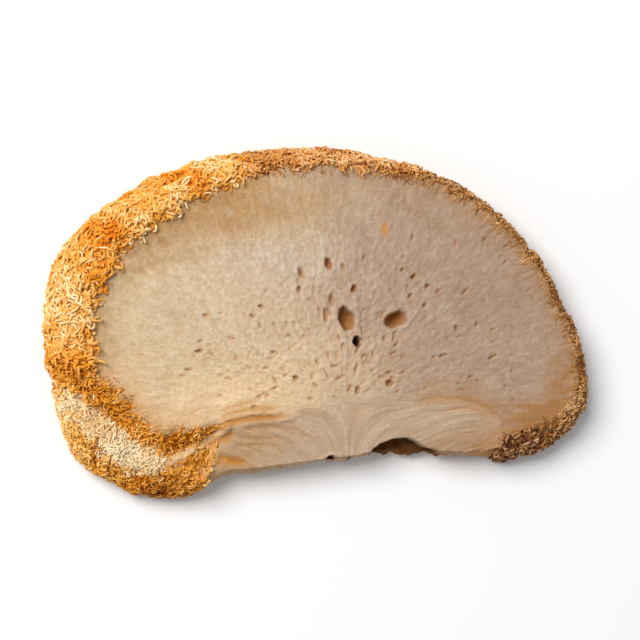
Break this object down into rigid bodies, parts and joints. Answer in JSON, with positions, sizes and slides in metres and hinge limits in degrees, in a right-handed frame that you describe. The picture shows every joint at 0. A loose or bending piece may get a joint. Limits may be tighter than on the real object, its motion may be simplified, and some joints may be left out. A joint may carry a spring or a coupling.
{
  "type": "dried lions mane mushroom slice",
  "caption": "Half-moon slice of dried lions mane mushroom, cut flat on both faces, with pale porous flesh and a crust of curled golden spines round its rim.",
  "frame": {"origin": "middle of the footprint, on the surface that the slice lies on", "axes": "+X along the slice towards its narrow end, +Y from the torn base towards the crown, +Z out of the upper cut face"},
  "size_m": [0.09, 0.0554, 0.0095],
  "materials": {
    "dried_flesh": "dry, matt and fibrous",
    "spine_crust": "dry curled spines, golden to brown"
  },
  "bodies": {
    "root": {"mushroom_slice": "dried_flesh"}
  },
  "joints": []
}
